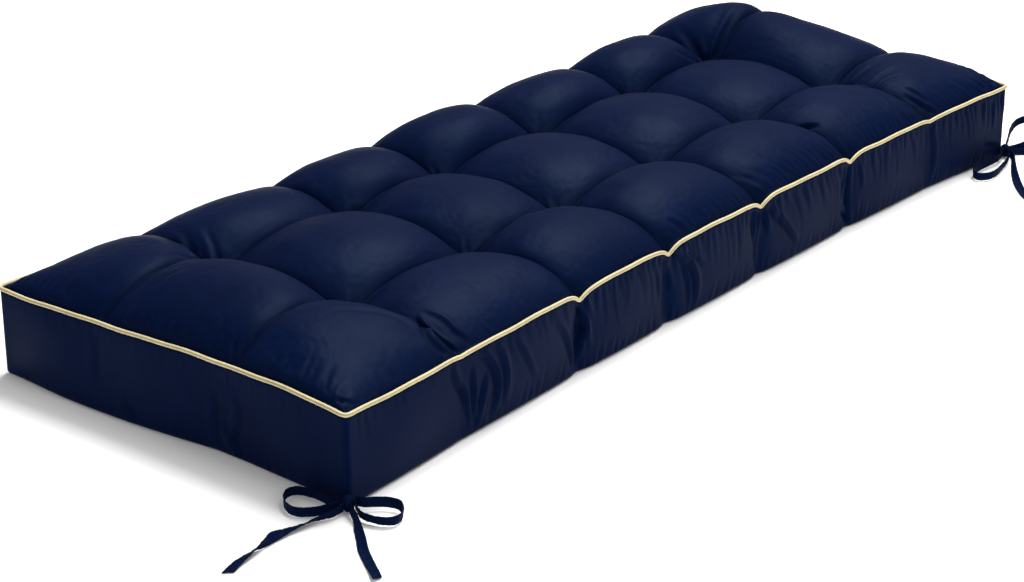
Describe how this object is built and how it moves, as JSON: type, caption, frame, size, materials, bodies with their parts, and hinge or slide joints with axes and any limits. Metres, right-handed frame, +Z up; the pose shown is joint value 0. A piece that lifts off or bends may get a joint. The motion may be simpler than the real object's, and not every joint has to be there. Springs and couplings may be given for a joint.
{
  "type": "bench cushion",
  "caption": "Long tufted bench cushion with a filled pad, piped top edge and a tie bow at each end of one long side.",
  "frame": {"origin": "middle of the underside of the pad with its piping, on the surface it lies on", "axes": "+X along the length, +Z up through the pad; the tie bows are at the ends of the long side that faces -Y"},
  "size_m": [1.5842, 0.624, 0.1679],
  "materials": {
    "navy_cloth": "smooth woven polyester with a soft sheen, navy blue",
    "cream_piping": "woven piping over a cord, cream",
    "navy_tie": "narrow flat tie of the same woven polyester, navy blue"
  },
  "bodies": {
    "root": {"pad": "navy_cloth", "piping": "cream_piping", "left_knot": "navy_tie", "left_loop_in": "navy_tie", "left_loop_out": "navy_tie", "left_tail_in": "navy_tie", "left_tail_out": "navy_tie", "right_knot": "navy_tie", "right_loop_in": "navy_tie", "right_loop_out": "navy_tie", "right_tail_in": "navy_tie", "right_tail_out": "navy_tie"}
  },
  "joints": []
}
